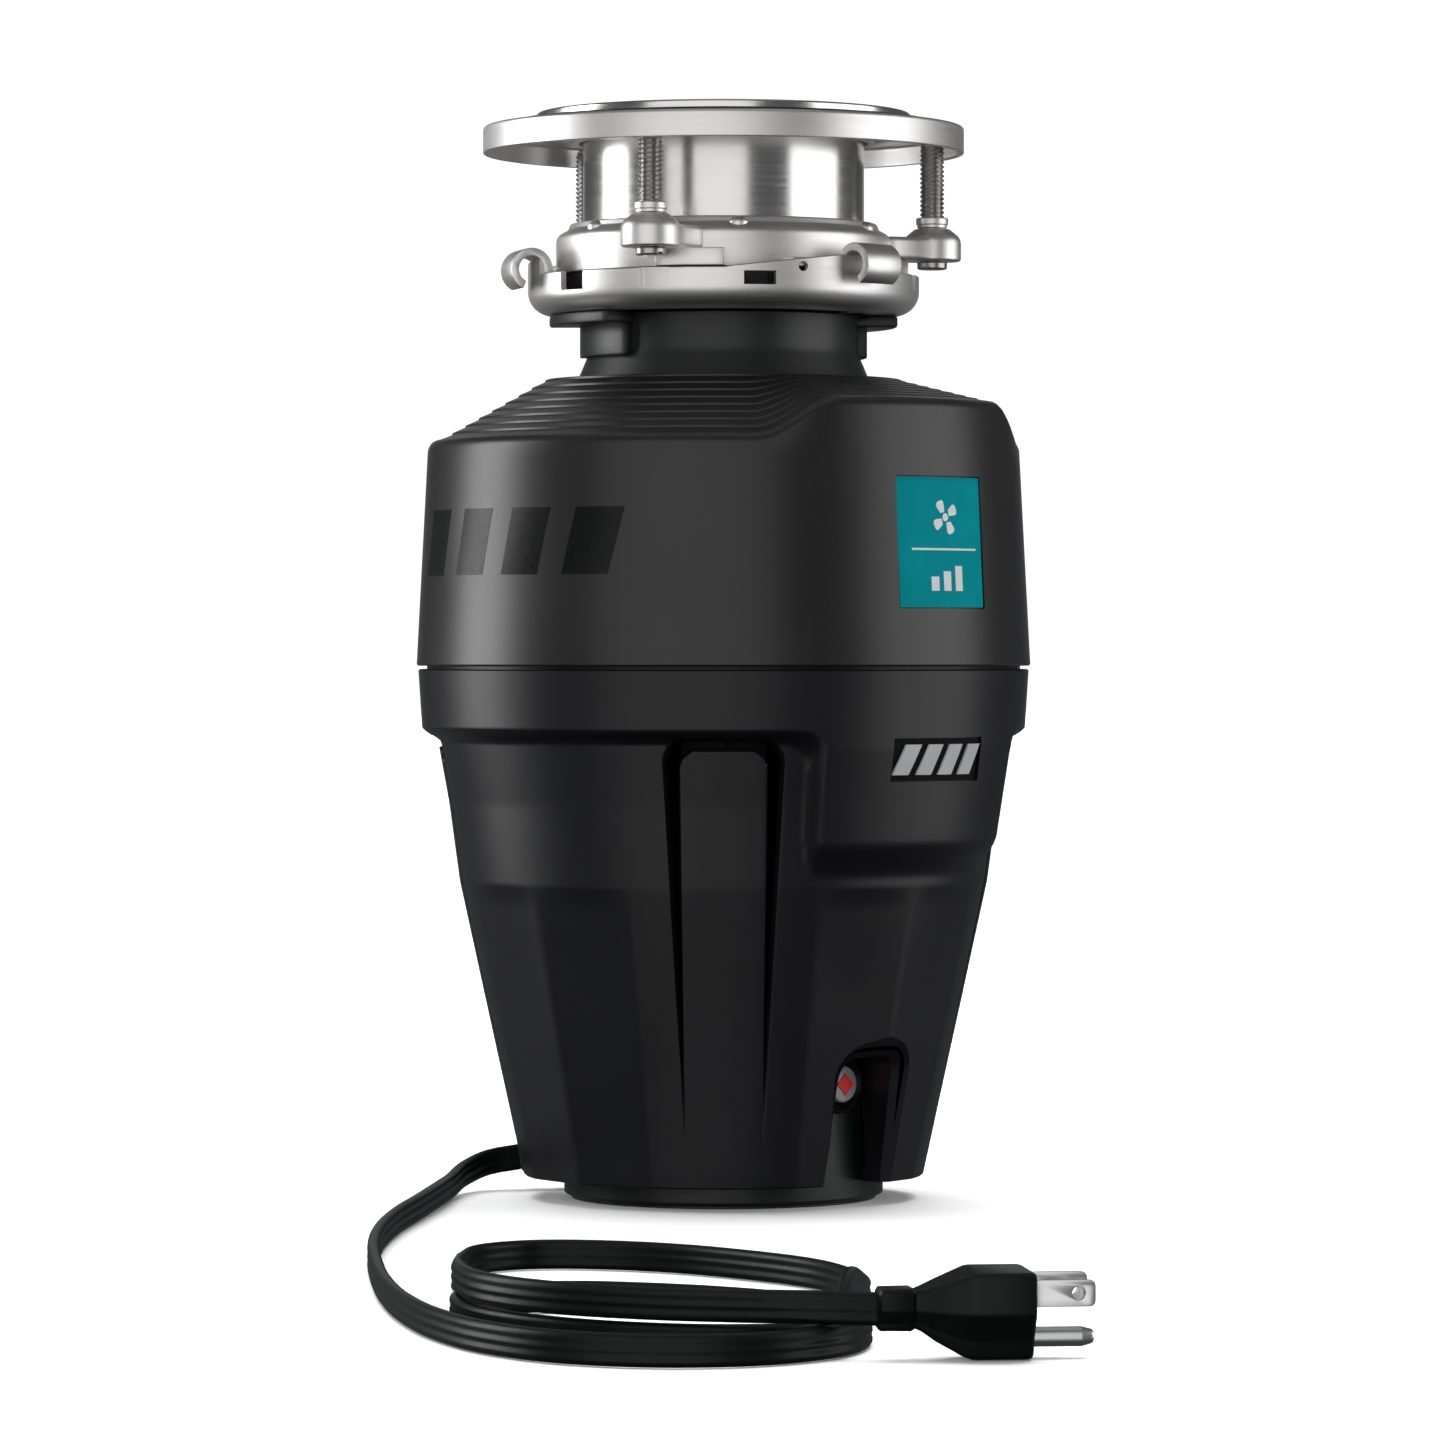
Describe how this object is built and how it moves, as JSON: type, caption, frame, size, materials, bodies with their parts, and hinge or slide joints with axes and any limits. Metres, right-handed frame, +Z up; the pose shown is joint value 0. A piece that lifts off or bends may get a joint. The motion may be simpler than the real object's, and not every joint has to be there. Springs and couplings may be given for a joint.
{
  "type": "kitchen garbage disposal",
  "caption": "Under-sink food waste disposal with a three-bolt sink mount, grind chamber, enclosed motor, tapered two-part trim shell and a plug-in mains lead.",
  "frame": {"origin": "centre of the motor's flat foot, on the surface it stands on", "axes": "+Z up along the motor shaft, -Y towards the badge panel and reset button, +Y towards the discharge port"},
  "size_m": [0.4563, 0.4884, 0.331],
  "materials": {
    "satin_nickel": "fine brushed satin nickel",
    "dark_steel": "plain machined steel",
    "stainless": "bright stainless",
    "aluminium": "die cast",
    "copper": "enamelled copper",
    "brass": "plain",
    "ferrite": "ferrite and carbon, matt",
    "upper_plastic": "dark grey moulding with a fine texture",
    "lower_plastic": "near-black moulding with a fine texture",
    "hopper_plastic": "glass-filled black moulding",
    "black_paint": "satin black paint on steel",
    "rubber": "matt black",
    "lead_jacket": "satin black vinyl jacket",
    "foam": "expanded foam",
    "teal": "printed teal plate",
    "button_grey": "light grey moulding"
  },
  "bodies": {
    "disposal": {"sink_flange": "satin_nickel", "snap_ring": "dark_steel", "fiber_gasket": "rubber", "support_ring": "satin_nickel", "mounting_ring": "satin_nickel", "mounting_screw_1": "dark_steel", "mounting_screw_2": "dark_steel", "mounting_screw_3": "dark_steel", "splash_guard": "rubber", "hopper": "hopper_plastic", "dishwasher_inlet_plug": "hopper_plastic", "foam_jacket": "foam", "grind_ring": "stainless", "upper_bearing": "dark_steel", "lower_bearing": "dark_steel", "shaft_seal": "rubber", "upper_end_frame": "aluminium", "housing_screw_1": "dark_steel", "housing_screw_2": "dark_steel", "housing_screw_3": "dark_steel", "housing_screw_4": "dark_steel", "motor_can": "black_paint", "magnet_1": "ferrite", "magnet_2": "ferrite", "brush_plate": "brass", "brush_holder_1": "brass", "brush_1": "ferrite", "brush_spring_1": "dark_steel", "brush_holder_2": "brass", "brush_2": "ferrite", "brush_spring_2": "dark_steel", "through_bolt_1": "dark_steel", "through_bolt_2": "dark_steel", "motor_end_bell": "black_paint", "reset_bezel": "hopper_plastic", "overload_protector": "hopper_plastic", "bridge_rectifier": "hopper_plastic", "upper_shell": "upper_plastic", "badge": "teal", "lower_shell": "lower_plastic", "nameplate": "lower_plastic", "cord_strain_relief": "rubber", "power_cord": "lead_jacket", "plug_body": "lead_jacket", "plug_blade_1": "stainless", "plug_blade_2": "stainless", "plug_ground_pin": "stainless"},
    "rotor": {"motor_shaft": "dark_steel", "turntable": "stainless", "turntable_nut": "dark_steel", "impeller_pin_1": "stainless", "impeller_pin_2": "stainless", "armature_core": "dark_steel", "armature_windings": "copper", "commutator": "copper"},
    "impeller_a": {"impeller_1": "stainless"},
    "impeller_b": {"impeller_2": "stainless"},
    "lock_ring": {"lower_mount_ring": "satin_nickel"},
    "reset": {"reset_button": "button_grey"}
  },
  "joints": [
    {"name": "rotor_spin", "type": "hinge", "parent": "disposal", "child": "rotor", "pos_m": [0, 0, 0.1], "axis": [0, 0, 1], "continuous": true},
    {"name": "impeller_1_swivel", "type": "hinge", "parent": "rotor", "child": "impeller_a", "pos_m": [0.041, 0, 0.2093], "axis": [0, 0, 1], "continuous": true},
    {"name": "impeller_2_swivel", "type": "hinge", "parent": "rotor", "child": "impeller_b", "pos_m": [-0.041, 0, 0.2093], "axis": [0, 0, 1], "continuous": true},
    {"name": "lock_ring_turn", "type": "hinge", "parent": "disposal", "child": "lock_ring", "pos_m": [0, 0, 0.275], "axis": [0, 0, 1], "range_deg": [0, 36]},
    {"name": "reset_press", "type": "slide", "parent": "disposal", "child": "reset", "axis": [0, 1, 0], "range_m": [0, 0.0025], "stiffness_N_per_m": 400}
  ]
}
